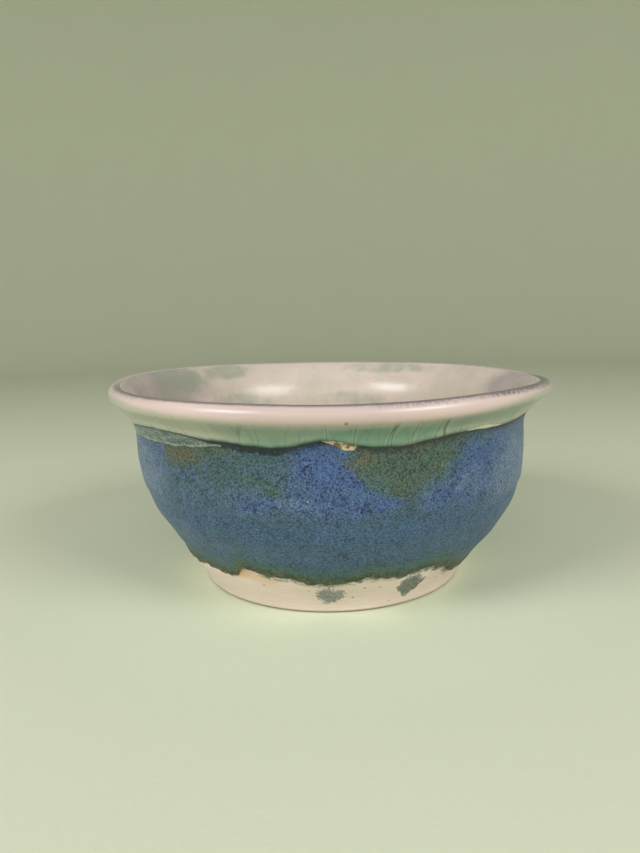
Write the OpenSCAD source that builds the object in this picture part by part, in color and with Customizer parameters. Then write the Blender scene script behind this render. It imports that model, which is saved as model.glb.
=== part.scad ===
// A small wheel-thrown stoneware yarn bowl: a flared clay body with a turned foot,
// and the coats of glaze that are fired onto it. Millimetres, +Z up, with the origin
// at the middle of the foot, on the surface that the bowl stands on.

/* [Rim] */
// Diameter of the clay over the lip
rim_d = 138.6; // [130:0.2:150]
// Height of the clay's crest
bowl_h = 63.2; // [60:0.2:70]
// Radius of the rounded lip
lip_r = 2.3; // [2:0.1:2.8]
// Slope of the flare under the lip, in degrees above the horizontal
flare_angle = 38; // [34:1:44]

/* [Wall] */
// Widest diameter of the clay's belly
belly_d = 123.2; // [116:0.2:126]
// Height of the belly's widest ring
belly_z = 43; // [40:0.5:45]
// Thickness of the clay wall at the belly
wall_t = 5; // [4:0.2:6.4]
// Lean of the lower wall away from the vertical, in degrees
lower_lean = 34.5; // [30:0.5:38]

/* [Foot] */
// Diameter of the foot where it stands
foot_d = 84.5; // [78:0.5:88]
// Height of the upright band above the foot's edge
foot_band_h = 3.5; // [2.5:0.5:5]
// Width of the foot ring
foot_ring_w = 7; // [5:0.5:10]
// Depth of the turned recess under the base
recess_h = 3; // [2:0.5:4]
// Height of the floor inside the bowl
floor_z = 9; // [8:0.5:11]

/* [Glaze] */
// Thickness of the coat inside the bowl
liner_t = 0.5; // [0.3:0.1:0.8]
// Thickness of the coat under the rim
rim_coat_t = 0.9; // [0.7:0.1:1.2]
// Thickness of the coat on the belly
belly_coat_t = 0.6; // [0.4:0.1:0.7]
// Height at which the rim's coat ends in a roll
drip_z = 52; // [51:0.5:54]
// Height at which the belly's coat ends above the foot
glaze_line_z = 12; // [10:0.5:16]

/* [Hidden] */
$fn = 96;

clay_color = "wheat";
liner_color = "antiquewhite";
celadon_color = "darkseagreen";
blue_color = "steelblue";
overlap_color = "cadetblue";
smudge_color = "slategray";

rim_r = rim_d / 2;
belly_r = belly_d / 2;
foot_r = foot_d / 2;
foot_edge = 0.6;          // chamfer round the foot's edges
foot_band_lean = 0.75;    // how far the upright band leans out over its height
lip_coat_t = 0.3;         // the coats thin to this where they meet on the lip's crest

// How far each of the wall's curves keeps its direction at its ends.
lower_hold = 15.2;
belly_hold_below = 18;
belly_hold_above = 9.3;
flare_hold = 9.3;
inner_flare_hold = 8;
inner_hold_above = 10;
inner_hold_below = 22;
floor_hold = 40;

// The mottled strip where the rim's coat ran over the belly's, and its two ends' azimuths.
overlap_t = 0.3;
overlap_bottom_z = 49.5;
overlap_from = -62;
overlap_to = -27;

// Dabs of glaze on the bare foot: azimuth from the front, height and diameter.
smudges = [[-1, 6.6, 7], [30, 7, 8]];
smudge_t = 0.25;

// Steps along each stretch of the outside and the inside.
bare_steps = 6;
belly_steps = 14;
strip_steps = 3;
roll_steps = 10;
lip_steps = 10;
inner_steps = 12;
soft_steps = 4;           // steps over which a coat thins towards its end

function unit(v) = v / norm(v);

// A cubic curve c through its first and last points, at share t of its way.
function at(c, t) =
    pow(1 - t, 3) * c[0] + 3 * t * pow(1 - t, 2) * c[1]
    + 3 * t * t * (1 - t) * c[2] + pow(t, 3) * c[3];

// The share of its way at which a rising curve c reaches height z.
function share_at(c, z, low = 0, high = 1) =
    high - low < 0.0001 ? low
    : let (middle = (low + high) / 2)
      at(c, middle)[1] < z ? share_at(c, z, middle, high) : share_at(c, z, low, middle);

// Points along a curve c between two shares, without the first one.
function along(c, from, to, n) = [for (i = [1:n]) at(c, from + (to - from) * i / n)];

// Points round the lip between two angles, without the first one.
function round_lip(from, to) =
    [for (i = [1:lip_steps])
        let (a = from + (to - from) * i / lip_steps) lip_centre + lip_r * [cos(a), sin(a)]];

// The direction away from the clay at point i of a path that has the clay on its left.
function away_from_clay(path, i) =
    let (d = unit(path[min(i + 1, len(path) - 1)] - path[max(i - 1, 0)])) [d[1], -d[0]];

// Thickness of a coat at point i between first and last, thinned towards its two ends.
function thickness(i, first, last, t_first, t, t_last) =
    i - first < soft_steps ? t_first + (t - t_first) * sqrt((i - first) / soft_steps)
    : last - i < soft_steps ? t_last + (t - t_last) * sqrt((last - i) / soft_steps)
    : t;

// Point i of a path, moved t away from the clay, but never across the bowl's axis.
function lifted(path, i, t) =
    let (p = path[i] + t * away_from_clay(path, i)) [max(0, p[0]), p[1]];

// The closed outline of a coat on points first to last of a path, lying on another coat of t_under.
function coat(path, first, last, t_first, t, t_last, t_under = 0) = concat(
    [for (i = [first:last]) lifted(path, i, t_under)],
    [for (i = [last:-1:first])
        let (here = thickness(i, first, last, t_first, t, t_last))
        if (here > 0) lifted(path, i, t_under + here)]);

flare_dir = [cos(flare_angle), sin(flare_angle)];
flare_out = [sin(flare_angle), -cos(flare_angle)];
lower_dir = [sin(lower_lean), cos(lower_lean)];
up = [0, 1];

lip_centre = [rim_r - lip_r, bowl_h - lip_r];
band_top = [foot_r + foot_band_lean, foot_band_h];
belly = [belly_r, belly_z];
inner_belly = [belly_r - wall_t, belly_z];
floor_centre = [0, floor_z];
flare_top = lip_centre + lip_r * flare_out;
inner_flare_top = lip_centre - lip_r * flare_out;

lower_curve = [band_top, band_top + lower_hold * lower_dir, belly - belly_hold_below * up, belly];
flare_curve = [belly, belly + belly_hold_above * up, flare_top - flare_hold * flare_dir, flare_top];
inner_flare_curve = [
    inner_flare_top, inner_flare_top - inner_flare_hold * flare_dir,
    inner_belly + inner_hold_above * up, inner_belly];
inner_bowl_curve = [
    inner_belly, inner_belly - inner_hold_below * up,
    floor_centre + [floor_hold, 0], floor_centre];

glaze_line = share_at(lower_curve, glaze_line_z);
strip_line = share_at(flare_curve, overlap_bottom_z);
drip_line = share_at(flare_curve, drip_z);

// The outside of the clay, from the foot's upright band to the lip's crest.
outside = concat(
    [band_top],
    along(lower_curve, 0, glaze_line, bare_steps),
    along(lower_curve, glaze_line, 1, belly_steps),
    along(flare_curve, 0, strip_line, strip_steps),
    along(flare_curve, strip_line, drip_line, strip_steps),
    along(flare_curve, drip_line, 1, roll_steps),
    round_lip(flare_angle - 90, 90));
glaze_start = bare_steps;
strip_start = glaze_start + belly_steps + strip_steps;
drip_start = strip_start + strip_steps;
crest = drip_start + roll_steps + lip_steps;

// The inside of the clay, from the lip's crest to the middle of the floor.
inside = concat(
    [outside[crest]],
    round_lip(90, flare_angle + 90),
    along(inner_flare_curve, 0, 1, inner_steps),
    along(inner_bowl_curve, 0, 1, inner_steps));
floor_middle = len(inside) - 1;

// The underside, from its middle out to the foot's outer edge.
underside = [
    [0, recess_h],
    [foot_r - foot_ring_w - recess_h / 2, recess_h],
    [foot_r - foot_ring_w, foot_edge],
    [foot_r - foot_ring_w + foot_edge, 0],
    [foot_r - foot_edge, 0],
    [foot_r, foot_edge]];

module clay_body() {
    inside_past_crest = [for (i = [1:floor_middle]) inside[i]];
    color(clay_color)
    rotate_extrude()
    polygon(concat(underside, outside, inside_past_crest));
}

module liner_glaze() {
    color(liner_color)
    rotate_extrude()
    polygon(coat(inside, 0, floor_middle, lip_coat_t, liner_t, liner_t));
}

module rim_glaze() {
    color(celadon_color)
    rotate_extrude()
    polygon(coat(outside, drip_start, crest, belly_coat_t, rim_coat_t, lip_coat_t));
}

module belly_glaze() {
    color(blue_color)
    rotate_extrude()
    polygon(coat(outside, glaze_start, drip_start, 0, belly_coat_t, belly_coat_t));
}

module overlap_glaze() {
    color(overlap_color)
    rotate([0, 0, overlap_from - 90])
    rotate_extrude(angle = overlap_to - overlap_from)
    polygon(coat(outside, strip_start, drip_start, overlap_t, overlap_t, overlap_t, belly_coat_t));
}

module foot_smudges() {
    dab_reach = 2 * foot_r;
    color(smudge_color)
    intersection() {
        rotate_extrude()
        polygon(coat(outside, 0, glaze_start, smudge_t, smudge_t, smudge_t));
        for (smudge = smudges)
            rotate([0, 0, smudge[0] - 90])
            translate([0, 0, smudge[1]])
            rotate([0, 90, 0])
            cylinder(d = smudge[2], h = dab_reach);
    }
}

clay_body();
liner_glaze();
rim_glaze();
belly_glaze();
overlap_glaze();
foot_smudges();
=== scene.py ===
"""Looks for the wheel-thrown stoneware yarn bowl: the clay, and the coats of glaze fired onto it.

Shapes are worked out in millimetres and turned into metres as each mesh is made. An azimuth is
counted in degrees from the front, -Y, and grows towards +X.
"""

import math

import bmesh
import bpy
import numpy as np
from mathutils import Matrix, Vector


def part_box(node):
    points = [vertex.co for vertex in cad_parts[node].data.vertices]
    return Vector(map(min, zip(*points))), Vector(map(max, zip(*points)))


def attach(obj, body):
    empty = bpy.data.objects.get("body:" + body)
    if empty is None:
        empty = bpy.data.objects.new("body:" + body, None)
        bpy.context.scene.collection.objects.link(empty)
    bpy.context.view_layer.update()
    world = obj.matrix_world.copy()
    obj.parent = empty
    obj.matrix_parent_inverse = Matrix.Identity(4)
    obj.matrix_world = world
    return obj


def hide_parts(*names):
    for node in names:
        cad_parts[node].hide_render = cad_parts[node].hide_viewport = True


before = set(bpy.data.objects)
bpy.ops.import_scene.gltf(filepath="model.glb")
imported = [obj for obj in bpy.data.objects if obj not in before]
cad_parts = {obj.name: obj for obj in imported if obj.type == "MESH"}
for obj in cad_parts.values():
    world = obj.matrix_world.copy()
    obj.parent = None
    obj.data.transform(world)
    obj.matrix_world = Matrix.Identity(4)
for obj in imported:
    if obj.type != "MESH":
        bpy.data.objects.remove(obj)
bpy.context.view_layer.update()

MM = 0.001

# ===== The bowl's sizes, in millimetres =====
clay_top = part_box("clay_body")[1]
COAT = 0.45  # usual thickness of a coat of glaze
RIM_R = clay_top.x / MM + 0.7  # glazed radius over the lip
CREST_Z = clay_top.z / MM + 0.3  # glazed height of the lip's crest
FOOT_R = 42.25
BAND_TOP = (43.0, 3.5)
ROUNDED_Z = 8.0  # the foot's band rounds into the wall up to here
BELLY_R = 62.2
BELLY_Z = 43.0
WALL = 5.2
LIP_R = 2.7
FLOOR_Z = 9.4
RECESS_Z = 3.0
FOOT_RING = 7.0
FOOT_EDGE = 0.8
LOWER_LEAN = math.radians(34.5)
FLARE_SLOPE = math.radians(38)
BAND_BULGE = (0.35, 2.6)  # how far the foot's band stands out, and at what height
BARE_Z = 9.0  # below this the clay carries no glaze
COVERED_Z = 13.0  # above this it is covered all round

# How far each of the wall's curves keeps its direction at its ends.
BAND_HOLD = 3
LOWER_HOLD = 15.2
BELLY_HOLD_BELOW = 18
FLARE_HOLD = 9.3
INNER_FLARE_HOLD = 8
INNER_HOLD_ABOVE = 10
INNER_HOLD_BELOW = 22
FLOOR_HOLD = 40

# Ridges and hollows that the potter's fingers left: height, how far they stand out, half-width.
THROWING_RINGS = [(33.9, 0.14, 1.5), (31.4, -0.17, 1.7), (26.0, 0.14, 1.8), (21.0, -0.14, 2.0),
                  (38.5, -0.06, 2.2), (46.5, 0.06, 1.8), (17.0, 0.06, 1.4)]

# How the bowl strays from a true circle: the wall leans to and fro (height, shift towards +X),
# and the rim rises and sags (azimuth, rise).
LEAN = [(0, 0), (5, -0.4), (9, -0.2), (13, 0.5), (17, 1.0), (22, 1.05), (28, 0.75),
        (33, 0.5), (40, 0.15), (48, 0), (53, -0.3), (57, -0.3), (60, 0.2), (66, 0.3)]
RIM_RISE = [(-152, 0.7), (-134, 1.3), (-115, 1.9), (-102, 2.2), (-90, 2.0), (-70, 1.1), (-43, 0.3),
            (-15, 0), (0, -0.3), (20, -0.3), (32, 0), (45, 0.2), (70, 0.0), (90, -0.3),
            (103, -0.4), (120, -0.2), (140, -0.1), (180, 0)]
RISE_FULL_R = 0.6 * RIM_R  # the rim's rise and sag fade out inside this radius
# Where the lip was pinched thinner: azimuth, and the share of its thickness that it lost. Then how
# far round and up the pinch reaches, and the radii where it begins and is full.
LIP_PINCH = [(-92, 0.42), (92, 0.42)]
PINCH_WIDTH = 34
PINCH_REACH = 3.5
PINCH_FROM_R = RIM_R - 9
PINCH_FULL_R = RIM_R - 6


def bezier(a, b, c, d):
    """Points along a cubic curve, from a to d."""
    steps = 60
    a, b, c, d = (np.array(p, float) for p in (a, b, c, d))
    t = np.linspace(0, 1, steps + 1)[:, None]
    return (1 - t) ** 3 * a + 3 * t * (1 - t) ** 2 * b + 3 * t * t * (1 - t) * c + t ** 3 * d


def smooth(value, low, high):
    """0 below low, 1 above high, and a soft step between them."""
    t = np.clip((np.asarray(value, float) - low) / (high - low), 0, 1)
    return t * t * (3 - 2 * t)


def bump(value, centre, half_width):
    """A rounded hump, 1 at its centre."""
    return np.exp(-((np.asarray(value, float) - centre) / half_width) ** 2)


def through(points, value):
    """A smooth curve through points of value and height."""
    at, height = np.array(points, float).T
    slope = np.gradient(height, at)
    i = np.clip(np.searchsorted(at, value, side="right") - 1, 0, len(at) - 2)
    width = at[i + 1] - at[i]
    t = (value - at[i]) / width
    return ((2 * t ** 3 - 3 * t ** 2 + 1) * height[i]
            + (t ** 3 - 2 * t ** 2 + t) * width * slope[i]
            + (3 * t ** 2 - 2 * t ** 3) * height[i + 1]
            + (t ** 3 - t ** 2) * width * slope[i + 1])


class Skin:
    """A line in the bowl's section, measured along its length, with the clay on its left."""

    def __init__(self, points, spacing=0.2):
        points = np.array(points, float)
        length = self.lengths(points)
        even = np.arange(0, length[-1], spacing)
        self.points = np.c_[np.interp(even, length, points[:, 0]),
                            np.interp(even, length, points[:, 1])]
        self.along = self.lengths(self.points)
        self.crest = self.along[int(np.argmax(self.points[:, 1]))]
        way = np.gradient(self.points, axis=0)
        way /= np.linalg.norm(way, axis=1)[:, None]
        self.out = np.c_[way[:, 1], -way[:, 0]]

    @staticmethod
    def lengths(points):
        """The length of the line up to each of its points."""
        return np.r_[0, np.cumsum(np.hypot(*np.diff(points, axis=0).T))]

    def at(self, s, lift=0.0):
        """Radius and height at length s, lifted off the clay by lift."""
        r = np.interp(s, self.along, self.points[:, 0])
        z = np.interp(s, self.along, self.points[:, 1])
        out_r = np.interp(s, self.along, self.out[:, 0])
        out_z = np.interp(s, self.along, self.out[:, 1])
        return r + lift * out_r, z + lift * out_z

    def length_at(self, z):
        """The length at which the outside reaches height z."""
        outside = self.along <= self.crest
        return np.interp(z, self.points[outside, 1], self.along[outside])

    def lifted(self, lift):
        """The same line, moved off the clay by lift, one number for each of its points."""
        return Skin(self.points + self.out * np.asarray(lift)[:, None])


def bowl_section():
    """The glazed bowl's section, from the foot's edge over the lip to the middle of the floor."""
    up = np.array([0.0, 1.0])
    lean = np.array([math.sin(LOWER_LEAN), math.cos(LOWER_LEAN)])
    flare = np.array([math.cos(FLARE_SLOPE), math.sin(FLARE_SLOPE)])
    flare_out = np.array([flare[1], -flare[0]])
    band_top = np.array(BAND_TOP)
    belly = np.array([BELLY_R, BELLY_Z])
    inner_belly = belly - [WALL, 0]
    lip = np.array([RIM_R - LIP_R, CREST_Z - LIP_R])
    floor_middle = np.array([0.0, FLOOR_Z])
    turn = np.linspace(FLARE_SLOPE - math.pi / 2, FLARE_SLOPE + math.pi / 2, 40)
    lip_round = lip + LIP_R * np.c_[np.cos(turn), np.sin(turn)]
    flare_top = lip + LIP_R * flare_out
    inner_flare_top = lip - LIP_R * flare_out
    lower = bezier(band_top, band_top + LOWER_HOLD * lean, belly - BELLY_HOLD_BELOW * up, belly)
    lower = lower[lower[:, 1] > ROUNDED_Z]
    rising = (lower[1] - lower[0]) / np.linalg.norm(lower[1] - lower[0])
    band = bezier([FOOT_R, FOOT_EDGE], [FOOT_R + BAND_BULGE[0], BAND_BULGE[1]],
                  lower[0] - BAND_HOLD * rising, lower[0])
    eased = 0.3 * FOOT_EDGE
    return np.vstack([
        [[FOOT_R - FOOT_EDGE, 0], [FOOT_R - eased, eased]],
        band[:-1],
        lower,
        bezier(belly, belly + FLARE_HOLD * up, flare_top - FLARE_HOLD * flare, flare_top)[1:],
        lip_round[1:],
        bezier(inner_flare_top, inner_flare_top - INNER_FLARE_HOLD * flare,
               inner_belly + INNER_HOLD_ABOVE * up, inner_belly)[1:],
        bezier(inner_belly, inner_belly - INNER_HOLD_BELOW * up, floor_middle + [FLOOR_HOLD, 0],
               floor_middle)[1:],
    ])


glazed = Skin(bowl_section())
is_outside = glazed.along <= glazed.crest
height = glazed.points[:, 1]
cover = np.where(is_outside, COAT * smooth(height, BARE_Z, COVERED_Z), COAT)
rings = sum(size * bump(height, z, width) for z, size, width in THROWING_RINGS)
clay = glazed.lifted(rings * is_outside - cover)


def round_line(points, azimuth):
    """A smooth closed line round the bowl through points of azimuth and height."""
    first = points[0][0]
    before = [(a - 360, z) for a, z in points[-2:]]
    after = [(a + 360, z) for a, z in points[:2]]
    azimuth = (np.asarray(azimuth, float) - first) % 360 + first
    return through(before + points + after, azimuth)


def place(azimuth, r, z):
    """A point, in metres, on the hand-thrown bowl."""
    a = np.radians(azimuth)
    z = np.asarray(z, float)
    x = r * np.sin(a) + through(LEAN, z)
    y = -r * np.cos(a)
    rise = round_line(RIM_RISE, azimuth) * (z / CREST_Z) ** 2 * smooth(r, 0, RISE_FULL_R)
    pinch = sum(size * bump(off_azimuth(azimuth, at), 0, PINCH_WIDTH) for at, size in LIP_PINCH)
    above_lip = z - (CREST_Z - LIP_R)
    fall = pinch * above_lip * bump(above_lip, 0, PINCH_REACH) * smooth(r, PINCH_FROM_R, PINCH_FULL_R)
    return np.stack([x, y, z + (rise - fall)], axis=-1) * MM


# ===== Where the coats begin and end: azimuth and height =====
DRIP_LINE = [(-175, 52.0), (-150, 51.2), (-125, 52.6), (-100, 51.8), (-80, 52.8), (-66, 52.8),
             (-52, 54.5), (-44, 54.8), (-36, 54.2), (-31, 53.4), (-23, 52.6), (-17, 51.9),
             (-12, 51.6), (-8, 52.4), (-5, 53.5), (-2, 54.1), (1, 54.2), (4, 53.4), (8, 52.2),
             (13, 51.7), (18, 51.8), (24, 52.6), (30, 53.4), (38, 53.4), (48, 53.1), (55, 53.8),
             (62, 54.6), (80, 53.0), (105, 51.6), (130, 53.0), (155, 51.4)]
FOOT_LINE = [(-170, 12.5), (-145, 10.5), (-120, 13.0), (-95, 11.0), (-75, 11.5), (-62, 10.8),
             (-53, 11.3), (-44, 11.5), (-38, 10.6), (-35, 10.9), (-33.4, 12.0), (-32.4, 14.0), (-31, 14.9),
             (-29, 14.6), (-22, 13.6), (-14, 13.0), (-9, 12.0), (-6, 11.2), (0, 11.5),
             (6, 12.2), (10, 12.9), (14.5, 13.1), (17, 12.2), (20, 11.6), (24, 12.2),
             (27, 13.0), (32, 13.2), (37, 12.6), (43, 10.4), (49, 8.0), (55, 6.6), (66, 7.5),
             (80, 10.5), (105, 12.5), (130, 10.0), (155, 13.0)]
# The blue coat's own upper edge lies this far under the green one's, but draws back at the chip.
TUCKED_UNDER = 1.2
CHIP_DEPTH = [(-40, 0), (-3.2, 0), (-0.6, 0.8), (1.6, 1.6), (3.8, 2.1), (5.2, 1.7), (6.8, 0), (40, 0)]
OVERLAP_LINE = [(-100, 51.5), (-88, 51.0), (-75, 50.4), (-66, 50.0), (-55, 50.1), (-44, 50.4),
                (-36, 50.6), (-31, 51.3), (-25, 51.9)]
# Above this line the green coat breaks to cream.
LIP_LINE = [(-175, 59.6), (-140, 59.4), (-100, 60.5), (-75, 61.4), (-53, 60.5), (-44, 59.9),
            (-37, 59.6), (-26, 59.3), (-13, 58.8), (1, 58.6), (14, 58.3), (28, 58.8), (42, 59.8),
            (57, 61.2), (75, 61.4), (100, 60.2), (140, 59.6)]
LIP_END = math.radians(24)  # how far round the lip, past its crest, the rim's coat ends
RIM_COAT_END = clay.crest + LIP_END * LIP_R


def ragged(azimuth, size, seed):
    """A small unevenness that goes round the bowl without a seam."""
    a = np.radians(azimuth)
    waves = [(31, 1.0), (47, 0.8), (73, 0.7), (113, 0.5), (167, 0.4)]
    total = sum(h * np.sin(n * a + seed * (k + 1.7)) for k, (n, h) in enumerate(waves))
    return size * total / 2


def off_azimuth(azimuth, centre):
    """How far an azimuth lies from centre, the short way round."""
    return (np.asarray(azimuth, float) - centre + 180) % 360 - 180


def drip_z(azimuth):
    """Height at which the green coat ends in a roll."""
    return round_line(DRIP_LINE, azimuth) + ragged(azimuth, size=0.12, seed=1)


def foot_z(azimuth):
    """Height at which the blue coat ends above the foot."""
    return round_line(FOOT_LINE, azimuth) + ragged(azimuth, size=0.6, seed=2)


def blue_top_z(azimuth):
    """Height at which the blue coat ends, under the green one or at the chip's lower edge."""
    far = CHIP_DEPTH[-1][0] - 1
    depth = np.clip(through(CHIP_DEPTH, np.clip(azimuth, -far, far)), 0, None)
    bare = smooth(depth, 0, 0.5)
    drawn_back = TUCKED_UNDER + depth + ragged(azimuth, size=0.3, seed=3)
    return drip_z(azimuth) + TUCKED_UNDER - bare * drawn_back


# ===== Meshes =====
def smooth_object(name, points, faces, marks):
    """A smooth mesh object in the scene, with one float attribute for each of its marks."""
    mesh = bpy.data.meshes.new(name)
    mesh.from_pydata(points, [], faces)
    for mark, values in marks.items():
        mesh.attributes.new(mark, "FLOAT", "POINT").data.foreach_set(
            "value", np.asarray(values, np.float32).ravel())
    bm = bmesh.new()
    bm.from_mesh(mesh)
    bmesh.ops.recalc_face_normals(bm, faces=bm.faces)
    bm.to_mesh(mesh)
    bm.free()
    mesh.polygons.foreach_set("use_smooth", np.ones(len(mesh.polygons), bool))
    made = bpy.data.objects.new(name, mesh)
    bpy.context.scene.collection.objects.link(made)
    return made


def build(name, points, faces, marks):
    """A mesh piece of the bowl."""
    piece = smooth_object(name, points.tolist(), faces, marks)
    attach(piece, "root")
    return piece


def quads(rows, columns, first, closed):
    """The faces of a grid whose points start at first, joined round if it is closed."""
    r = np.arange(rows - 1)[:, None]
    c = np.arange(columns if closed else columns - 1)[None, :]
    here = first + r * columns + c
    beside = first + r * columns + (c + 1) % columns
    return np.stack([here, beside, beside + columns, here + columns], axis=-1).reshape(-1, 4)


def rim_quads(a, b, closed):
    """A strip of faces between two lines of point numbers."""
    n = len(a) if closed else len(a) - 1
    return [[a[i], a[(i + 1) % len(a)], b[(i + 1) % len(b)], b[i]] for i in range(n)]


COAT_SINK = 0.12  # how far a coat sinks into what it lies on
END_TAPER = 0.02  # share of a strip's length over which each end thins out


def shell(name, azimuth, low, high, rows, thickness, marks, edge=0.6, base=0.0, closed=True,
          round_end=True):
    """A coat on the clay between two lengths of its section, as a closed solid.

    thickness(azimuth, s, low, high) gives how thick it is, and marks(azimuth, s, z) its marks. The
    coat thins out over edge at its two edges, or only at the first where round_end is False. It
    lies on another coat of thickness base, and goes all round the bowl if it is closed.
    """
    u = np.linspace(0, 1, rows)[:, None]
    u = 0.5 * u + 0.25 * (1 - np.cos(np.pi * u))         # rows lie closer together near the edges
    s = low[None, :] + (high - low)[None, :] * u
    a = np.broadcast_to(azimuth[None, :], s.shape)
    near_edge = np.minimum(s - low, high - s) if round_end else s - low
    rounding = np.sqrt(np.clip(1 - (1 - np.clip(near_edge / edge, 0, 1)) ** 2, 0, 1))
    t = thickness(a, s, low[None, :], high[None, :]) * rounding
    if not closed:
        side = np.minimum(azimuth - azimuth[0], azimuth[-1] - azimuth)[None, :]
        t = t * np.sqrt(np.clip(side / (END_TAPER * (azimuth[-1] - azimuth[0])), 0, 1))
    top = place(a, *clay.at(s, base + t))
    under = place(a, *clay.at(s, base - COAT_SINK))
    columns = len(azimuth)
    number = np.arange(2 * rows * columns).reshape(2, rows, columns)
    faces = quads(rows, columns, 0, closed).tolist()
    faces += quads(rows, columns, rows * columns, closed)[:, ::-1].tolist()
    faces += rim_quads(number[1, 0], number[0, 0], closed)
    faces += rim_quads(number[0, -1], number[1, -1], closed)
    if not closed:
        faces += rim_quads(number[0, :, 0], number[1, :, 0], False)
        faces += rim_quads(number[1, :, -1], number[0, :, -1], False)
    z = clay.at(s)[1]
    values = {mark: np.stack([v, v]) for mark, v in marks(a, s, z).items()}
    return build(name, np.vstack([top.reshape(-1, 3), under.reshape(-1, 3)]), faces, values)


ARC = 1.08  # millimetres of arc for a degree, about the belly


def patches(spots, azimuth, z):
    """Soft patches, each an azimuth, a height, their half-widths and a strength from 0 to 1."""
    total = np.zeros(np.broadcast(azimuth, z).shape)
    for at, level, wide, tall, strength in spots:
        away = np.hypot(off_azimuth(azimuth, at) / wide, (z - level) / tall)
        total = np.maximum(total, strength * (1 - smooth(away, 0.45, 1.35)))
    return total


def areas(shapes, azimuth, z, soft):
    """Soft-edged areas, each a strength and the corners of a shape, round it counter-clockwise.

    The shapes bulge outwards everywhere, and their corners are azimuths and heights.
    """
    total = np.zeros(np.broadcast(azimuth, z).shape)
    for strength, corners in shapes:
        inside = np.full(total.shape, np.inf)
        for (a0, z0), (a1, z1) in zip(corners, corners[1:] + corners[:1]):
            along, rise = ARC * (a1 - a0), z1 - z0
            off = along * (z - z0) - rise * ARC * off_azimuth(azimuth, a0)
            inside = np.minimum(inside, off / math.hypot(along, rise))
        total = np.maximum(total, strength * smooth(inside, -soft, soft))
    return total


ROUND_FINE = np.linspace(-180, 180, 480, endpoint=False)
ROUND_PLAIN = np.linspace(-180, 180, 300, endpoint=False)


# ----- the clay -----
FRINGE = [(-17, 12.8, 8, 2.0, 1), (-9, 12.0, 4, 1.6, 0.7), (-2, 10.8, 5, 1.6, 0.7),
          (8, 12.2, 7, 1.8, 1), (24, 12.6, 8, 2.2, 0.9), (36, 12.0, 9, 2.6, 1),
          (47, 9.0, 7, 3.0, 0.9), (-60, 12.0, 6, 2.0, 0.5), (100, 12.0, 14, 2.4, 0.8),
          (-130, 12.0, 14, 2.4, 0.8), (165, 12.0, 10, 2.4, 0.7)]
BLUSH = [(-31, 12.6, 5, 2.2, 0.9), (-24, 11.6, 7, 2.2, 0.7), (-40, 9.5, 8, 3, 0.25),
         (70, 4.0, 9, 3, 0.5), (140, 9, 10, 3, 0.7), (-95, 9, 10, 3, 0.7)]
CHIPPED = [(1.8, 52.2, 7, 3, 1)]


def clay_marks(azimuth, z, r):
    """The clay's marks, none of which show under the foot except near its outer edge."""
    outside = smooth(r, FOOT_R - 8, FOOT_R - 4)
    return {
        "fringe": patches(FRINGE, azimuth, z) * outside,
        "blush": patches(BLUSH, azimuth, z) * outside,
        "below_glaze": foot_z(azimuth) - z,
        # Painted shade in the gap along the foot's lower edge.
        "foot_edge_painted_shade": smooth(r, FOOT_R - 1.2, FOOT_R - 0.6) * (1 - smooth(z, 0.35, 0.9)),
        "chipped": patches(CHIPPED, azimuth, z) * outside,
    }


def make_clay():
    """The whole fired bowl as one closed solid of revolution, bare where no glaze covers it."""
    inner_r = FOOT_R - FOOT_RING
    # From the middle of the recess under the base, out over the foot ring.
    underside = np.array([
        [0, RECESS_Z], [10, RECESS_Z], [20, RECESS_Z + 0.1], [28, RECESS_Z],
        [inner_r - 3.2, RECESS_Z - 0.3], [inner_r - 1.8, RECESS_Z - 1.2], [inner_r - 0.8, 0.9],
        [inner_r - 0.2, 0.25], [inner_r + 0.5, 0], [inner_r + 3, 0], [FOOT_R - 1.4, 0]])
    wall = Skin(clay.points, spacing=0.7).points
    line = np.vstack([underside, wall[:-1], [[0, wall[-1, 1]]]])
    ring, poles = line[1:-1], line[[0, -1]]
    a, r = np.broadcast_arrays(ROUND_PLAIN[None, :], ring[:, 0:1])
    z = np.broadcast_to(ring[:, 1:2], r.shape)
    points = np.vstack([place(a, r, z).reshape(-1, 3), place(0, poles[:, 0], poles[:, 1])])
    rows, columns = r.shape
    faces = quads(rows, columns, 0, True).tolist()
    last = rows * columns
    for pole, row in ((last, 0), (last + 1, rows - 1)):
        for c in range(columns):
            faces.append([pole, row * columns + c, row * columns + (c + 1) % columns])
    marks = {m: np.r_[v.ravel(), v[0, 0], v[-1, 0]] for m, v in clay_marks(a, z, r).items()}
    return build("stoneware_bowl", points, faces, marks)


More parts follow.
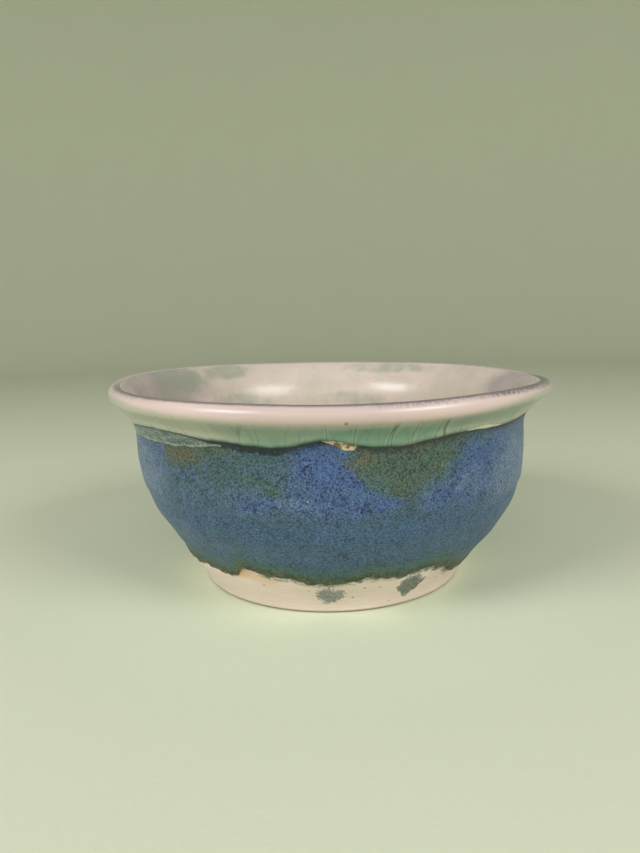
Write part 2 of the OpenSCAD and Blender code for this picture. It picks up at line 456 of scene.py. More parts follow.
# ----- the blue coat -----
VIVID = [(1, [(-8.5, 54), (-9.5, 40), (9, 40), (10, 43.5), (8, 47), (5.5, 54)]),
         (0.9, [(-9, 41), (-10, 34.5), (14, 34), (17, 38), (12.5, 40.8)]),
         (0.8, [(35, 51), (32, 47), (24, 40.5), (21, 35), (48, 33.5), (62, 38), (64, 50)]),
         (0.65, [(-25, 38.5), (-24, 34), (-8, 34), (-6, 39)]),
         (0.5, [(-75, 46), (-75, 30), (-50, 30), (-50, 46)]),
         (0.9, [(88, 47), (88, 34), (125, 32), (130, 44)]),
         (1, [(150, 47), (150, 35), (190, 34), (195, 45)]),
         (0.9, [(-130, 46), (-130, 34), (-95, 34), (-95, 46)])]
OLIVE = [(1, [(0.5, 56), (3.4, 49.6), (6.2, 45.7), (9.5, 42.8), (13.3, 39.6), (16.5, 38.2),
              (20.4, 39.2), (25, 41.4), (31.5, 47.3), (35, 56)]),
         (0.6, [(31, 54), (31, 49.8), (44, 50.8), (44, 54)]),
         (1.2, [(-46, 53), (-46, 45), (-42, 43.8), (-35, 45.5), (-21, 50.0), (-21, 53)]),
         (0.8, [(70, 54), (72, 46), (84, 45), (88, 54)]),
         (1, [(115, 54), (120, 44), (128, 41), (140, 46), (144, 54)]),
         (0.9, [(-146, 54), (-142, 46), (-132, 43), (-122, 47), (-118, 54)])]
RUST = [(0.95, [(-46, 51), (-46, 46), (-42, 44.8), (-35.5, 46.5), (-34, 51)]),
        (0.7, [(1.5, 56), (4.4, 49), (6.6, 46.2), (9.5, 46), (12, 50), (12, 56)]),
        (0.9, [(11, 53), (11, 50.3), (33, 51.3), (33, 54.5)]),
        (0.8, [(116, 54), (118, 49), (126, 48), (130, 54)]),
        (0.7, [(-140, 54), (-138, 49), (-128, 48), (-124, 54)])]
GREEN = [(0.75, [(-36, 53), (-35, 44), (-26, 39.5), (-14, 39), (-10, 42), (-9, 53)]),
         (0.5, [(-42, 34), (-36, 24), (-8, 26), (-10, 33)]),
         (0.6, [(15.5, 40), (18.5, 32), (22, 32), (19, 40)]),
         (0.5, [(22, 41), (22, 39.4), (38, 40.2), (38, 41.8)]),
         (0.5, [(56, 30), (50, 14), (62, 14), (72, 30)]),
         (0.7, [(95, 33), (92, 24), (125, 26), (125, 34)]),
         (0.7, [(-160, 34), (-160, 24), (-110, 24), (-110, 32)])]
BLOBS = [(-13.8, 40.4, 3.0, 2.0, 1.0), (-18, 42.5, 6, 3.4, 0.7), (-6.8, 43.2, 3.6, 2.8, 0.5),
         (-20.5, 33.2, 4, 2.0, 0.55), (-31, 28.8, 4, 2.2, 1.0), (-13.8, 29.7, 5, 2.4, 0.5),
         (12.0, 41.6, 3.6, 2.4, 0.8), (26.5, 49, 6, 3.6, 0.7), (10.5, 45.5, 3.4, 3.4, 0.7),
         (31, 40.6, 5, 1.2, 0.5), (64, 22, 6, 5, 0.7), (120, 38, 8, 3, 0.8), (-120, 38, 8, 3, 0.8)]
PALE = [(-66, 36, 19, 16, 1), (-54, 24, 14, 8, 0.8), (60, 38, 19, 15, 0.9), (38, 40, 10, 5, 0.5),
        (-8, 37.5, 8, 2.5, 0.5), (-30, 20, 12, 4, 0.4)]
DOTTED = [(-16, 37, 12, 4.0, 1), (-5, 44, 8, 7, 0.8), (6, 38, 10, 4, 0.8), (-36, 38, 10, 8, 0.8),
          (30, 36, 10, 4, 0.6), (40, 42, 10, 6, 0.5), (120, 38, 20, 8, 0.8), (-120, 38, 20, 8, 0.8),
          (170, 38, 20, 8, 0.8)]
# Where tiny glints are painted on as highlights.
PAINTED_HIGHLIGHT_SPOTS = [(-6.3, 39, 2.6, 2.4, 1), (-4.6, 40.8, 1.6, 1.4, 1), (-11, 38.6, 1.6, 1.2, 0.8),
           (26.5, 45.8, 1.6, 1.2, 0.8), (-18, 34, 6, 2, 0.5), (-29, 41, 4, 3, 0.4),
           (-20, 31, 4, 1.6, 0.5), (2, 37, 6, 2.5, 0.4), (120, 40, 6, 3, 0.6), (-110, 38, 6, 3, 0.6)]
# Where dark glaze pooled under the green roll, painted darker still as the roll's shadow.
POOLED_AND_SHADOWED = [(-16, 52, 10, 6, 1), (-25, 53, 6, 5, 0.85), (-4, 54, 5, 3, 0.7),
          (22, 53, 20, 5, 0.5), (50, 54, 14, 5, 0.45), (110, 52, 22, 5, 0.7), (170, 52, 20, 5, 0.8),
          (-110, 52, 22, 5, 0.7)]


def blue_thickness(azimuth, s, low, high):
    """A usual coat with a low roll along its foot line, thicker in some places than in others."""
    roll = 0.20 * bump(s - low, 1.1, 1.0)
    waves = 0.05 * np.sin(np.radians(5 * azimuth) + s / 6)
    cross_waves = 0.04 * np.sin(np.radians(9 * azimuth) - s / 4)
    return COAT + roll + (waves + cross_waves)


def blue_marks(azimuth, s, z):
    """The blue coat's marks, with their outlines made to wander."""
    level = z
    turn = np.radians(azimuth)
    z = z + 0.5 * np.sin(17 * turn + 0.4 * z) + 0.3 * np.sin(41 * turn - 0.7 * z)
    azimuth = azimuth + 0.8 * np.sin(0.55 * level + 3 * np.sin(7 * turn)) \
        + 0.5 * np.sin(1.3 * level + 23 * turn)
    marks = {
        "vivid": areas(VIVID, azimuth, z, 4.6),
        "olive": areas(OLIVE, azimuth, z, 4.2),
        "rust": areas(RUST, azimuth, z, 3.2),
        "green": areas(GREEN, azimuth, z, 4.0),
        "blobs": patches(BLOBS, azimuth, z),
        "pale": patches(PALE, azimuth, z),
        "dotted": patches(DOTTED, azimuth, z),
        "highlight_spots": patches(PAINTED_HIGHLIGHT_SPOTS, azimuth, z),
    }
    azimuth = np.degrees(turn)
    marks["pooled_and_shadowed"] = patches(POOLED_AND_SHADOWED, azimuth, level)
    marks["height"] = level
    marks["above_foot_line"] = level - foot_z(azimuth)
    marks["below_drip"] = drip_z(azimuth) - level
    return marks


def make_blue():
    low = clay.length_at(foot_z(ROUND_FINE))
    high = clay.length_at(blue_top_z(ROUND_FINE))
    return shell("blue_glaze_coat", ROUND_FINE, low, high, 96, blue_thickness, blue_marks)


# ----- the green coat over the rim -----
YELLOW = [(-55, 56, 24, 8, 1), (-34, 56, 14, 8, 0.8), (62, 57, 14, 8, 0.8), (42, 55, 12, 5, 0.5),
          (110, 56, 30, 8, 0.6), (-130, 56, 30, 8, 0.6)]
DEEP = [(9, 54.8, 13, 3.4, 1), (20, 55.0, 8, 2.8, 0.6), (-12, 52.8, 11, 3.0, 0.6),
        (140, 55, 22, 3.5, 0.9), (-160, 55, 16, 3.5, 0.7), (-95, 55, 14, 3, 0.6), (90, 55, 12, 3, 0.6)]
FLAKE = [(38.5, 54.1, 5, 0.75, 1), (44, 53.8, 3, 0.6, 0.8), (-110, 54, 5, 0.7, 0.7)]
CRAZED = [(16, 55, 24, 6, 1), (-30, 55, 22, 6, 0.55), (45, 56, 14, 6, 0.5), (110, 55, 34, 6, 0.8),
          (-120, 55, 40, 6, 0.7), (180, 55, 20, 6, 0.7)]
STROKES = [(58, 64, 32, 5, 1), (22, 64, 16, 4, 0.5), (-58, 64, 20, 4, 0.3), (140, 63, 30, 4, 0.6)]
LIP_PAINTED_SHADE = [(-4, 62, 22, 8, 1)]  # painted shade: the lip's colour darkened at its front, to even out the light there


def rim_thickness(azimuth, s, low, high):
    """A usual coat with the thick roll that it ends in under the flare."""
    roll = 0.34 * bump(s - low, 1.3, 1.2)
    return COAT + roll + 0.04 * np.sin(np.radians(7 * azimuth) + s / 3)


def rim_marks(azimuth, s, z):
    """Heights past the crest carry on growing, so that a mark can tell the lip's two sides apart."""
    past = np.clip(s - clay.crest, 0, None)
    level = np.where(s > clay.crest, CREST_Z + past, z)
    return {
        "yellow": patches(YELLOW, azimuth, z),
        "deep": patches(DEEP, azimuth, z),
        "flake": patches(FLAKE, azimuth, z),
        "crazed": patches(CRAZED, azimuth, z),
        "strokes": patches(STROKES, azimuth, z),
        # The "thin" mark is painted shade on the front of the lip.
        "thin": patches(LIP_PAINTED_SHADE, azimuth, z),
        "above_drip": z - drip_z(azimuth),
        "pooled_and_shadowed": patches(POOLED_AND_SHADOWED, azimuth, z),
        "past_crest": s - clay.crest,
        "above_lip_line": level - round_line(LIP_LINE, azimuth),
        # Painted shade along the inside of the lip, strongest at the front.
        "lip_inner_painted_shade": 0.25 + 0.75 * smooth(-np.abs(off_azimuth(azimuth, 8)), -95, -70),
    }


def make_rim():
    low = clay.length_at(drip_z(ROUND_FINE))
    end = RIM_COAT_END + ragged(ROUND_FINE, size=0.12, seed=4)
    return shell("celadon_rim_coat", ROUND_FINE, low, end, 56, rim_thickness, rim_marks, edge=0.9)


# ----- the cream coat inside -----
GREENISH = [(-116, 59, 17, 5, 1), (-139, 60.5, 12, 3, 0.9), (-108, 54, 12, 6, 0.7),
            (-140, 48, 20, 6, 0.6), (158, 61, 22, 2.2, 0.7), (170, 49, 18, 3.5, 0.6),
            (120, 61, 12, 3, 0.3), (60, 50, 30, 10, 0.5), (-40, 50, 30, 12, 0.5),
            (0, 30, 40, 10, 0.5), (-90, 30, 30, 10, 0.6), (110, 28, 30, 10, 0.6)]
# Painted shade and painted reflection of a purple surround: purple-grey patches on the inside walls.
PAINTED_SHADE_AND_REFLECTION = [(-100, 57, 30, 12, 1), (94, 58, 18, 10, 0.9)]


def liner_thickness(azimuth, s, low, high):
    """A usual coat, a little uneven."""
    return COAT + 0.03 * np.sin(np.radians(6 * azimuth) + s / 5)


def liner_marks(azimuth, s, z):
    return {
        "greenish": patches(GREENISH, azimuth, z),
        "painted_shade_reflection": patches(PAINTED_SHADE_AND_REFLECTION, azimuth, z),
        "height": z,
    }


def make_liner():
    under_rim_coat = 0.6
    short_of_axis = 0.05
    low = np.full_like(ROUND_PLAIN, RIM_COAT_END - under_rim_coat)
    floor = np.full_like(ROUND_PLAIN, clay.along[-1] - short_of_axis)
    return shell("cream_liner_coat", ROUND_PLAIN, low, floor, 130, liner_thickness, liner_marks,
                 round_end=False)


# ----- the strip where the green ran over the blue -----
def overlap_thickness(azimuth, s, low, high):
    """A thin strip with a low roll along its lower edge."""
    return 0.16 + 0.06 * bump(s - low, 0.5, 0.5)


def overlap_marks(azimuth, s, z):
    lower = through(OVERLAP_LINE, azimuth)
    return {"above_edge": z - lower, "below_drip": drip_z(azimuth) - z}


def make_overlap():
    azimuth = np.linspace(OVERLAP_LINE[0][0], OVERLAP_LINE[-1][0], 130)
    low = clay.length_at(through(OVERLAP_LINE, azimuth) + ragged(azimuth, size=0.32, seed=5))
    gap = 0.05 + 0.5 * smooth(azimuth, -40, -28)     # the strip draws away from the roll at its end
    high = np.maximum(clay.length_at(drip_z(azimuth) - gap), low + 0.25)
    return shell("mottled_overlap_coat", azimuth, low, high, 26, overlap_thickness, overlap_marks,
                 edge=0.35, base=COAT - 0.05, closed=False)


# ----- the dabs on the foot -----
# Each dab: its azimuth, height, half-width and half-height in mm, and how much it narrows downwards.
DABS = [(-0.6, 6.7, 4.4, 3.9, 0.25), (29.2, 6.7, 4.3, 5.1, 0.8)]
DARK_DAB = 1  # from the second dab on they are darker
# Each speck: its azimuth, height and half-width.
FOOT_SPECKS = [(7.5, 5.6, 0.35), (11, 9.1, 0.3), (16.5, 8.7, 0.3), (-24, 9.3, 0.3), (-8, 8.5, 0.22)]
DAB_T = 0.16
DAB_SINK = 0.1


def dab(azimuth, z, half_wide, half_tall, narrowing, seed, spokes, rows):
    """One thin dab with an uneven outline, lying on the clay: its points, its faces and its fade.

    The fade is 0 at the dab's middle and 1 at its outline.
    """
    turn = np.linspace(0, 2 * np.pi, spokes, endpoint=False)[None, :]
    reach = np.linspace(0, 1, rows)[:, None]
    uneven = 1 + 0.10 * np.sin(3 * turn + seed) + 0.08 * np.sin(7 * turn + 2 * seed) \
        + 0.06 * np.sin(13 * turn + 3 * seed)
    up = np.sin(turn) * reach * uneven
    across = np.cos(turn) * reach * uneven * (1 + narrowing * np.minimum(up, 0.3))
    s = clay.length_at(z) + half_tall * up
    a = azimuth + np.degrees(half_wide * across / clay.at(s)[0])
    thick = DAB_T * np.sqrt(np.clip(1 - reach ** 4, 0, 1)) + 0 * turn
    top = place(a, *clay.at(s, thick))
    under = place(a, *clay.at(s, -DAB_SINK))
    points = np.vstack([top[1:].reshape(-1, 3), under[1:].reshape(-1, 3), top[0, :1], under[0, :1]])
    ring = rows - 1
    number = np.arange(2 * ring * spokes).reshape(2, ring, spokes)
    faces = quads(ring, spokes, 0, True).tolist()
    faces += quads(ring, spokes, ring * spokes, True)[:, ::-1].tolist()
    faces += rim_quads(number[0, -1], number[1, -1], True)
    tip = 2 * ring * spokes
    for side in (0, 1):
        for c in range(spokes):
            faces.append([tip + side, number[side, 0, c], number[side, 0, (c + 1) % spokes]])
    fade = np.r_[np.tile((reach[1:] + 0 * turn).ravel(), 2), 0, 0]
    return points, faces, fade


def make_dabs():
    """All the dabs and specks on the foot, as one piece."""
    points, faces, fade, dark = [], [], [], []
    shapes = [(*d, 1.3 + k) for k, d in enumerate(DABS)]
    shapes += [(a, z, size, size * 0.8, 0, 4.1 + k) for k, (a, z, size) in enumerate(FOOT_SPECKS)]
    for k, shape in enumerate(shapes):
        spokes, rows = (72, 16) if k < len(DABS) else (16, 5)
        dab_points, dab_faces, dab_fade = dab(*shape, spokes, rows)
        start = sum(len(part) for part in points)
        points.append(dab_points)
        faces += [[start + i for i in face] for face in dab_faces]
        fade.append(dab_fade)
        dark.append(np.full(len(dab_points), float(k >= DARK_DAB)))
    marks = {"fade": np.concatenate(fade), "dark": np.concatenate(dark)}
    return build("foot_glaze_dabs", np.vstack(points), faces, marks)


# ===== Materials =====
def paint(red, green, blue):
    """A colour from 0 to 255 as the shader wants it."""
    def linear(value):
        value /= 255
        return value / 12.92 if value <= 0.04045 else ((value + 0.055) / 1.055) ** 2.4
    return (linear(red), linear(green), linear(blue), 1.0)


class Graph:
    """A material's nodes, with a short method for each kind that the glazes need."""

    def __init__(self, name, roughness, specular):
        self.material = bpy.data.materials.new(name)
        self.material.use_nodes = True
        self.tree = self.material.node_tree
        self.shader = self.tree.nodes["Principled BSDF"]
        self.shader.inputs["Roughness"].default_value = roughness
        self.shader.inputs["Specular IOR Level"].default_value = specular
        self.place = self.tree.nodes.new("ShaderNodeTexCoord").outputs["Object"]

    def node(self, kind, inputs, output=0, **settings):
        """A node of a kind with its inputs set or linked; gives one of its outputs."""
        made = self.tree.nodes.new(kind)
        for key, value in settings.items():
            setattr(made, key, value)
        for key, value in inputs.items():
            self.feed(made.inputs[key], value)
        return made.outputs[output]

    def feed(self, socket, value):
        """Links a socket to another node's output, or sets its value."""
        if isinstance(value, bpy.types.NodeSocket):
            self.tree.links.new(value, socket)
        else:
            socket.default_value = value

    def mark(self, name):
        """One of the mesh's float attributes."""
        return self.node("ShaderNodeAttribute", {}, "Fac", attribute_name=name)

    def math(self, operation, a, b):
        return self.node("ShaderNodeMath", {0: a, 1: b}, operation=operation)

    def times(self, a, b):
        return self.math("MULTIPLY", a, b)

    def plus(self, a, b):
        return self.math("ADD", a, b)

    def stray(self, noise, amount):
        """How far a noise strays from its middle, times amount."""
        return self.times(self.math("SUBTRACT", noise, 0.5), amount)

    def vector(self, operation, a, b, output=0):
        return self.node("ShaderNodeVectorMath", {0: a, 1: b}, output, operation=operation)

    def scaled(self, vector, factor):
        return self.node("ShaderNodeVectorMath", {0: vector, "Scale": factor}, operation="SCALE")

    def stretched(self, x, y, z):
        """The place on the object, with each direction scaled."""
        return self.vector("MULTIPLY", self.place, (x, y, z))

    def noise(self, size, detail=2.0, place=None, twist=0.0):
        """Noise from 0 to 1 whose lumps are about size millimetres across."""
        inputs = {"Vector": place or self.place, "Scale": 1 / (size * MM), "Detail": detail,
                  "Distortion": twist}
        return self.node("ShaderNodeTexNoise", inputs, "Fac")

    def cells(self, size, feature, place=None):
        """Distance to the middle or the edge of cells about size millimetres across."""
        inputs = {"Vector": place or self.place, "Scale": 1 / (size * MM)}
        return self.node("ShaderNodeTexVoronoi", inputs, "Distance", feature=feature)

    def step(self, value, low, high):
        """0 at low, 1 at high, with a soft step between them; low may be the larger."""
        inputs = {"Value": value, "From Min": low, "From Max": high, "To Min": 0.0, "To Max": 1.0}
        return self.node("ShaderNodeMapRange", inputs, interpolation_type="SMOOTHSTEP")

    def between(self, value, low, high):
        """Low where value is 0, high where it is 1."""
        return self.node("ShaderNodeMapRange", {"Value": value, "To Min": low, "To Max": high})

    def blend(self, share, a, b):
        """Colour a, turning to colour b as share goes from 0 to 1."""
        made = self.tree.nodes.new("ShaderNodeMix")
        made.data_type = "RGBA"
        self.feed(made.inputs["Factor"], share)
        self.feed(made.inputs[6], a)             # 6 and 7 are the node's colour inputs
        self.feed(made.inputs[7], b)
        return made.outputs[2]                   # and 2 is its colour output

    def tint(self, colour, new, strength, share):
        """A colour that turns to a new one, by strength where share is 1."""
        return self.blend(self.times(share, strength), colour, new)

    def broken(self, name, wobble, low, high, amount=0.7):
        """A mark whose edge is broken up by a noise."""
        return self.step(self.plus(self.mark(name), self.stray(wobble, amount)), low, high)

    def near(self, centre, radius):
        """1 within radius millimetres of a point on the object, 0 outside."""
        away = self.vector("DISTANCE", self.place, tuple(centre), "Value")
        return self.step(away, radius * MM, radius * MM * 0.5)

    def finish(self, colour, height, depth, roughness=None):
        """Sets the colour, the relief in millimetres, and the roughness where it varies."""
        relief = {"Height": height, "Distance": depth * MM, "Strength": 1.0}
        self.feed(self.shader.inputs["Base Color"], colour)
        self.feed(self.shader.inputs["Normal"], self.node("ShaderNodeBump", relief, "Normal"))
        if roughness is not None:
            self.feed(self.shader.inputs["Roughness"], roughness)
        return self.material


def stoneware():
    """Bare fired clay: pinkish cream, fine turning lines, iron specks, an orange flush."""
    g = Graph("bare_stoneware", 0.75, 0.3)
    cloudy = g.noise(14, 3)
    fine = g.noise(0.5, 3)
    turning = g.noise(0.55, 2, g.stretched(0.05, 0.05, 1.0))
    colour = g.blend(g.step(cloudy, 0.3, 0.7), paint(236, 216, 208), paint(228, 209, 200))
    colour = g.tint(colour, paint(190, 168, 148), 0.2, g.step(turning, 0.45, 0.75))
    flush = g.broken("blush", g.noise(4), 0.1, 1.0, 0.6)
    colour = g.tint(colour, paint(222, 178, 134), 0.7, flush)
    specks = g.times(g.step(g.cells(2.6, "F1"), 0.13, 0.06), g.step(g.noise(7), 0.60, 0.66))
    colour = g.tint(colour, paint(112, 90, 74), 0.7, specks)

    # Below the glaze line: whitish streaks, brown-green smears, and a dark seam of painted shadow under
    # the glaze's rounded edge.
    below = g.plus(g.mark("below_glaze"), g.stray(g.noise(1.4, 3), 1.6))
    scum = g.times(g.mark("fringe"), g.step(below, 2.4, 1.2))
    streaks = g.noise(1.1, 3, g.stretched(0.35, 0.35, 1.5), 0.8)
    colour = g.tint(colour, paint(214, 214, 204), 0.9, g.times(scum, g.step(streaks, 0.34, 0.46)))
    smear = g.noise(0.8, 3, g.stretched(0.35, 0.35, 1.3), 0.5)
    colour = g.tint(colour, paint(88, 92, 64), 0.85, g.times(scum, g.step(smear, 0.42, 0.52)))
    # Painted shadow under the glaze's rounded lower edge.
    colour = g.tint(colour, paint(92, 84, 56), 0.7, g.step(below, 0.9, 0.1))

    # Painted shade along the foot's lower edge, where it meets the floor.
    colour = g.tint(colour, paint(104, 90, 70), 0.65, g.mark("foot_edge_painted_shade"))
    crust = g.blend(g.step(g.noise(1.3, 3), 0.46, 0.58), paint(140, 116, 88), paint(222, 200, 168))
    colour = g.blend(g.mark("chipped"), colour, crust)
    return g.finish(colour, g.plus(fine, g.times(turning, 1.6)), 0.05)


# The blue coat's zones: mark, where it begins and is full, colour, and colour of its dots.
BLUE_ZONES = [
    ("vivid", 0.15, 0.95, paint(64, 88, 132), paint(22, 35, 84)),
    ("green", 0.20, 1.00, paint(58, 82, 86), paint(28, 50, 58)),
    ("pale", 0.20, 1.00, paint(98, 116, 142), paint(64, 82, 110)),
    ("olive", 0.30, 0.85, paint(70, 86, 76), paint(34, 52, 50)),
    ("rust", 0.35, 1.05, paint(90, 86, 69), paint(52, 56, 44)),
    ("blobs", 0.30, 1.30, paint(64, 90, 76), paint(38, 60, 54)),
]


def blue_glaze():
    """Satin blue that breaks to olive, rust and green, with a scatter of dark specks."""
    g = Graph("speckled_blue_glaze", 0.42, 0.45)
    grain = g.noise(0.42, 2)
    wobble = g.plus(g.times(g.noise(4, 4), 0.4), g.times(g.noise(0.75, 2), 0.6))
    lumps = g.noise(0.8, 2, twist=0.4)
    coarse = g.noise(3.4, 2)
    drift = g.noise(9, 3)

    # The ground's tone and its dots' colour, in zones, lower down, and towards the foot.
    tone = g.blend(g.step(drift, 0.35, 0.65), paint(74, 97, 124), paint(66, 90, 108))
    dots = g.blend(g.step(drift, 0.35, 0.65), paint(34, 50, 84), paint(36, 58, 72))
    for name, low, high, zone_tone, zone_dots in BLUE_ZONES:
        share = g.broken(name, wobble, low, high, 2.6)
        tone = g.blend(share, tone, zone_tone)
        dots = g.blend(share, dots, zone_dots)
    low_down = g.step(g.plus(g.mark("height"), g.stray(drift, 7)), 36.0, 30.0)
    tone = g.tint(tone, paint(60, 88, 120), 0.65, low_down)
    dots = g.tint(dots, paint(34, 54, 88), 0.6, low_down)
    edge = g.plus(g.mark("above_foot_line"), g.stray(g.noise(2.6, 4), 5.0))
    greener = g.step(edge, 9.0, 2.4)
    tone = g.tint(tone, paint(52, 88, 76), 0.8, greener)
    dots = g.tint(dots, paint(26, 52, 50), 0.6, greener)
    earthy = g.blend(g.step(g.noise(1.8, 3), 0.42, 0.58), paint(40, 64, 42), paint(84, 82, 50))
    lowest = g.step(edge, 3.6, 1.6)
    tone = g.tint(tone, earthy, 0.85, lowest)
    dots = g.tint(dots, paint(34, 44, 28), 0.85, lowest)

    # Fine grain, ragged specks, and round dots that crowd together here and there.
    colour = g.scaled(tone, g.between(g.step(grain, 0.34, 0.66), 0.56, 1.62))
    spread = g.plus(g.plus(lumps, g.stray(coarse, 0.30)), g.times(g.mark("dotted"), 0.05))
    colour = g.tint(colour, dots, 0.55, g.step(spread, 0.58, 0.68))
    reach = g.plus(g.plus(0.24, g.stray(coarse, 0.6)), g.times(g.mark("dotted"), 0.06))
    dot = g.step(g.math("SUBTRACT", g.cells(1.05, "F1"), reach), 0.06, -0.06)
    colour = g.tint(colour, dots, 0.95, dot)
    # Painted highlights: tiny pale glints in a few places.
    painted_glint = g.times(g.step(g.cells(0.9, "F1"), 0.30, 0.16), g.step(g.noise(1.6), 0.50, 0.58))
    colour = g.tint(colour, paint(196, 212, 224), 0.8, g.times(painted_glint, g.mark("highlight_spots")))

    # Under the green coat's roll: a dark pool and a thin seam, partly dark glaze and partly painted shadow
    # of the roll.
    line = g.plus(g.mark("below_drip"), g.stray(g.noise(1.0, 5), 4.2))
    pool = g.times(g.step(line, 2.2, 0.7), g.mark("pooled_and_shadowed"))
    colour = g.tint(colour, paint(6, 26, 42), 0.95, pool)
    colour = g.tint(colour, paint(36, 46, 36), 0.6, g.step(line, 0.7, 0.2))
    return g.finish(colour, g.plus(g.times(grain, 0.5), lumps), 0.08, g.between(coarse, 0.34, 0.56))


def celadon_glaze():
    """Glossy crazed green that breaks to pinkish cream on the lip, with painted shade along the inside of
    the lip.
    """
    g = Graph("celadon_rim_glaze", 0.3, 0.5)
    wobble = g.noise(3.2, 2)
    soft = g.noise(8, 2)
    level = g.plus(g.mark("above_lip_line"), g.stray(soft, 1.0))
    green = g.blend(g.broken("yellow", soft, 0.1, 0.9), paint(147, 164, 145), paint(178, 180, 162))
    green = g.blend(g.broken("deep", wobble, 0.2, 0.8, 0.4), green, paint(121, 154, 133))
    colour = g.blend(g.step(level, -1.3, 0.5), green, paint(186, 180, 164))
    # The "thin" mark darkens the lip's front as painted shade, evening out the light there.
    lip = g.blend(g.mark("thin"), paint(216, 194, 190), paint(202, 180, 176))
    colour = g.blend(g.step(level, 0.0, 1.6), colour, lip)

    # Craze lines run nearly upright, so the cracks are drawn on a ring stretched along its height.
    flat = g.vector("NORMALIZE", g.stretched(1, 1, 0), (0, 0, 0))
    ring = g.vector("ADD", g.scaled(flat, 66 * MM), g.stretched(0, 0, 0.16))
    cracks = g.cells(6.4, "DISTANCE_TO_EDGE", ring)
    hairs = g.cells(3.1, "DISTANCE_TO_EDGE", g.vector("ADD", ring, g.scaled(g.place, 0.10)))
    crazed = g.mark("crazed")
    in_green = g.step(level, 1.0, -0.6)
    crack = g.times(g.step(cracks, 0.024, 0.008), crazed)
    beside = g.times(g.step(cracks, 0.12, 0.05), crazed)
    hair = g.times(g.step(hairs, 0.05, 0.01), crazed)
    colour = g.tint(colour, paint(176, 184, 158), 0.25, g.times(beside, in_green))
    colour = g.tint(colour, paint(66, 88, 66), 0.65, g.times(crack, in_green))
    colour = g.tint(colour, paint(90, 108, 84), 0.28, g.times(hair, in_green))

    # Along the roll: a dark edge, a pool where the glaze ran thick and that is darkened further as painted
    # shadow of the roll, and pale flakes.
    edge = g.plus(g.mark("above_drip"), g.stray(g.noise(1.5, 2), 0.5))
    colour = g.tint(colour, paint(58, 74, 56), 0.6, g.step(edge, 0.6, 0.1))
    pool = g.times(g.step(edge, 1.9, 0.5), g.mark("pooled_and_shadowed"))
    colour = g.tint(colour, paint(18, 46, 46), 0.9, pool)
    colour = g.tint(colour, paint(226, 214, 198), 0.9, g.broken("flake", wobble, 0.3, 0.5, 0.5))

    # Past the crest: painted shade along the inside of the lip, strongest at the front, and short strokes
    # that cross the lip.
    past = g.plus(g.mark("past_crest"), g.stray(g.noise(2.0), 0.5))
    line = g.times(g.step(past, -1.5, -0.5), g.mark("lip_inner_painted_shade"))
    colour = g.tint(colour, paint(110, 104, 100), 0.9, line)
    strokes = g.step(g.noise(0.75, 2, g.stretched(1.0, 0.6, 0.12)), 0.42, 0.58)
    strokes = g.times(g.plus(0.4, g.times(strokes, 0.6)), g.mark("strokes"))
    colour = g.tint(colour, paint(104, 98, 102), 0.95, g.times(strokes, g.step(past, -2.5, -1.4)))

    spot_azimuth, spot_z, spot_radius = 3.2, 59.4, 0.7
    spot = place(spot_azimuth, *clay.at(clay.length_at(spot_z), COAT))
    colour = g.tint(colour, paint(176, 110, 70), 0.8, g.near(spot, spot_radius))
    height = g.math("SUBTRACT", g.times(soft, 0.6), g.times(crack, 0.35))
    return g.finish(colour, height, 0.12)


def cream_glaze():
    """Glossy cream inside, with pale green where the glaze lies thicker."""
    g = Graph("cream_liner_glaze", 0.27, 0.55)
    cloud = g.noise(10, 3)
    soft = g.noise(5, 4)
    colour = g.blend(g.step(cloud, 0.3, 0.7), paint(211, 194, 184), paint(199, 188, 175))
    # Painted shade and painted reflection: purple-grey patches on the inside walls.
    colour = g.tint(colour, paint(156, 141, 152), 0.6, g.broken("painted_shade_reflection", cloud, 0.1, 1.1, 0.9))
    colour = g.tint(colour, paint(152, 158, 140), 0.75, g.broken("greenish", soft, 0.15, 1.0, 1.1))
    pool = g.step(g.mark("height"), 15.0, 10.0)
    colour = g.tint(colour, paint(160, 172, 140), 0.45, pool)
    crack = g.step(g.cells(7, "DISTANCE_TO_EDGE"), 0.02, 0.006)
    colour = g.tint(colour, paint(120, 120, 96), 0.10, crack)
    return g.finish(colour, soft, 0.12)


def mottled_glaze():
    """The grey-green strip where the green coat ran over the blue one."""
    g = Graph("mottled_overlap_glaze", 0.3, 0.5)
    smear = g.noise(1.6, 3, g.stretched(0.6, 0.6, 1.6), 0.8)
    fine = g.noise(0.6, 2)
    colour = g.blend(g.step(smear, 0.36, 0.62), paint(68, 88, 88), paint(118, 134, 130))
    colour = g.tint(colour, paint(58, 76, 84), 0.5, g.step(fine, 0.50, 0.66))
    colour = g.tint(colour, paint(160, 170, 164), 0.6, g.step(g.noise(1.0, 4), 0.57, 0.62))
    edge = g.plus(g.mark("above_edge"), g.stray(smear, 1.0))
    pale = g.times(g.step(edge, 0.8, 0.4), g.step(edge, -0.2, 0.1))
    colour = g.tint(colour, paint(150, 160, 140), 0.6, pale)
    # Painted shadow of the green coat's roll along the top of the strip.
    colour = g.tint(colour, paint(46, 64, 60), 0.2, g.step(g.mark("below_drip"), 1.1, 0.6))
    return g.finish(colour, smear, 0.12)


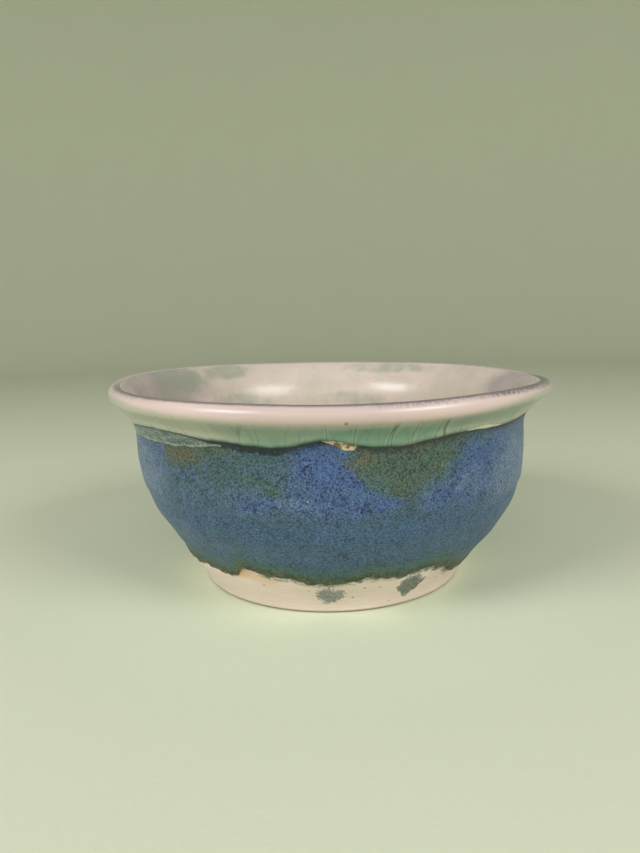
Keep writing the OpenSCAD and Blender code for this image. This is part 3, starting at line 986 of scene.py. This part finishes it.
def smudge_glaze():
    """Thin dry glaze on the foot, clay showing through it between blue-grey specks."""
    g = Graph("foot_smudge_glaze", 0.6, 0.35)
    grain = g.noise(0.7, 2)
    dark = g.mark("dark")
    spots = g.blend(dark, paint(126, 130, 134), paint(100, 108, 104))
    ground = g.blend(dark, paint(162, 158, 152), paint(132, 136, 124))
    colour = g.blend(g.step(grain, 0.40, 0.62), spots, ground)
    ragged_fade = g.plus(g.mark("fade"), g.math("SUBTRACT", g.noise(2.4, 3), 0.5))
    thin = g.step(ragged_fade, 0.62, 1.02)
    thin = g.times(thin, g.step(grain, 0.36, 0.54))
    clay_shows = g.times(thin, g.math("SUBTRACT", 1.0, g.times(dark, 0.5)))
    colour = g.blend(clay_shows, colour, paint(224, 208, 192))
    return g.finish(colour, grain, 0.06)


# ===== The pieces =====
PIECES = [
    (make_clay, "clay_body", "stoneware", stoneware),
    (make_liner, "liner_glaze", "cream_glaze", cream_glaze),
    (make_rim, "rim_glaze", "celadon_glaze", celadon_glaze),
    (make_blue, "belly_glaze", "blue_glaze", blue_glaze),
    (make_overlap, "overlap_glaze", "mottled_glaze", mottled_glaze),
    (make_dabs, "foot_smudges", "smudge_glaze", smudge_glaze),
]
for make, node, slot, material in PIECES:
    piece = make()
    piece.data.materials.append(material())
    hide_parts(node)


# ===== Stage, lights and camera =====
def make_stage():
    """A round pale floor that sweeps up into a plain wall all round."""
    flat, sweep, wall, columns = 0.9, 0.45, 1.2, 96
    turn = np.linspace(0, math.pi / 2, 16)
    profile = [(0.2, 0.0), (0.5, 0.0)]
    profile += [(flat + sweep * math.sin(t), sweep - sweep * math.cos(t)) for t in turn]
    profile.append((flat + sweep, wall))
    around = np.linspace(0, 2 * math.pi, columns, endpoint=False)
    points = [(0.0, 0.0, 0.0)]
    points += [(r * math.cos(a), r * math.sin(a), z) for r, z in profile for a in around]
    faces = [[0, 1 + c, 1 + (c + 1) % columns] for c in range(columns)]
    faces += quads(len(profile), columns, 1, True).tolist()
    stage = smooth_object("stage", points, faces, {})
    g = Graph("pale_paper", 0.9, 0.2)
    away = g.vector("LENGTH", g.place, (0, 0, 0), "Value")
    tone = g.blend(g.noise(60, 3), paint(211, 215, 190), paint(213, 217, 193))
    # Painted light: the floor is lighter close round the bowl's foot, fading out by 10 cm from its middle.
    tone = g.blend(g.step(away, 0.10, 0.045), tone, paint(220, 228, 202))
    stage.data.materials.append(g.finish(tone, g.noise(1.2, 3), 0.05))


# Each light: name, azimuth, elevation, distance, width, height, power, share of shine.
LIGHTS = [
    ("key_left", -52, 34, 1.0, 0.40, 0.34, 4.85, 1.0),
    ("key_right", 47, 34, 1.0, 0.44, 0.34, 4.45, 1.0),
    ("front_fill", -4, 24, 1.2, 0.9, 0.5, 1.7, 0.1),
    ("overhead", 0, 75, 1.2, 0.8, 0.8, 1.2, 0.5),
]


def soft_light(name, azimuth, elevation, distance, width, height, power, shine):
    """A rectangular soft light that looks at the bowl from an azimuth and an elevation."""
    a, e = math.radians(azimuth), math.radians(elevation)
    light = bpy.data.lights.new(name, "AREA")
    light.shape = "RECTANGLE"
    light.size = width
    light.size_y = height
    light.energy = power
    light.specular_factor = shine
    lamp = bpy.data.objects.new(name, light)
    way = np.array([math.sin(a) * math.cos(e), -math.cos(a) * math.cos(e), math.sin(e)])
    turn = Matrix.Rotation(a, 4, "Z") @ Matrix.Rotation(math.pi / 2 - e, 4, "X")
    lamp.matrix_world = Matrix.Translation((way * distance).tolist()) @ turn
    bpy.context.scene.collection.objects.link(lamp)


def make_camera():
    """The camera, in front of the bowl and a little above it."""
    data = bpy.data.cameras.new("camera")
    data.sensor_width = 36
    data.lens = 28.7
    camera = bpy.data.objects.new("camera", data)
    back, up = 0.2242, 0.0843
    pitch, yaw, roll = (math.radians(v) for v in (9.48, 0.79, -1.5))
    turn = Matrix.Rotation(yaw, 4, "Z") @ Matrix.Rotation(math.pi / 2 - pitch, 4, "X") \
        @ Matrix.Rotation(roll, 4, "Z")
    camera.matrix_world = Matrix.Translation((0, -back, up)) @ turn
    bpy.context.scene.collection.objects.link(camera)
    bpy.context.scene.camera = camera


def make_world():
    """Even, dim light from all round."""
    world = bpy.data.worlds.new("studio")
    world.use_nodes = True
    background = world.node_tree.nodes["Background"]
    background.inputs["Color"].default_value = (0.95, 0.97, 1.0, 1.0)
    background.inputs["Strength"].default_value = 0.23
    bpy.context.scene.world = world


make_stage()
make_camera()
for light_values in LIGHTS:
    soft_light(*light_values)
make_world()
bpy.context.scene.view_settings.view_transform = "Standard"
